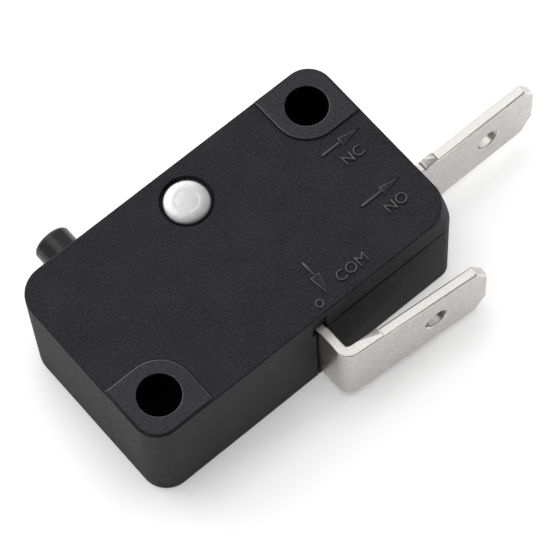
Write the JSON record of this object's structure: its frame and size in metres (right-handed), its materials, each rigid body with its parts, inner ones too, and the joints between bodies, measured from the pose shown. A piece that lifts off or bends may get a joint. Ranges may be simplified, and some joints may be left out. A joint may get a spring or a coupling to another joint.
{
  "type": "micro switch",
  "caption": "Snap-action micro switch: moulded case and cover riveted together, pin plunger at one end, bent common tab and straight normally open tab.",
  "frame": {"origin": "axis of the mounting hole nearest the plunger, at the back face of the body", "axes": "+X along the body towards the straight tab, +Y towards the plunger, +Z out of the marked face"},
  "size_m": [0.0396, 0.0231, 0.0103],
  "materials": {
    "case_plastic": "fine-grained charcoal moulding",
    "cover_plastic": "fine-grained charcoal moulding",
    "plunger_plastic": "smooth black moulding",
    "lever_plastic": "natural moulding",
    "rivet_metal": "satin",
    "tab_metal": "tin plated, satin",
    "contact_metal": "silver, satin",
    "arm_metal": "spring copper alloy",
    "spring_steel": "drawn wire"
  },
  "bodies": {
    "housing": {"case": "case_plastic", "cover": "cover_plastic", "rivet": "rivet_metal", "com_terminal": "tab_metal", "no_terminal": "tab_metal", "no_contact": "contact_metal"},
    "button": {"plunger": "plunger_plastic"},
    "rocker": {"lever": "lever_plastic"},
    "arm": {"contact_arm": "arm_metal", "moving_contact": "contact_metal"},
    "coil": {"spring": "spring_steel"}
  },
  "joints": [
    {"name": "plunger_press", "type": "slide", "parent": "housing", "child": "button", "axis": [0, -1, 0], "range_m": [0, 0.0018], "stiffness_N_per_m": 400, "springref_m": -0.0006, "deforming": ["spring"]},
    {"name": "lever_tilt", "type": "hinge", "parent": "housing", "child": "rocker", "pos_m": [-0.0004, 0.00785, 0.00515], "axis": [0, 0, -1], "range_deg": [0, 23.1]},
    {"name": "arm_snap", "type": "hinge", "parent": "housing", "child": "arm", "pos_m": [0.00775, 0.0051, 0.00515], "axis": [0, 0, -1], "range_deg": [0, 4.85]},
    {"name": "spring_swing", "type": "hinge", "parent": "arm", "child": "coil", "pos_m": [0.015, 0.0051, 0.00515], "axis": [0, 0, 1], "range_deg": [0, 15.9]}
  ],
  "couplings": [
    {"joint": "lever_tilt", "follows": "plunger_press", "rad_per_m": 223.01},
    {"joint": "arm_snap", "follows": "plunger_press", "rad_per_m": 46.542},
    {"joint": "spring_swing", "follows": "plunger_press", "rad_per_m": 153.01}
  ]
}
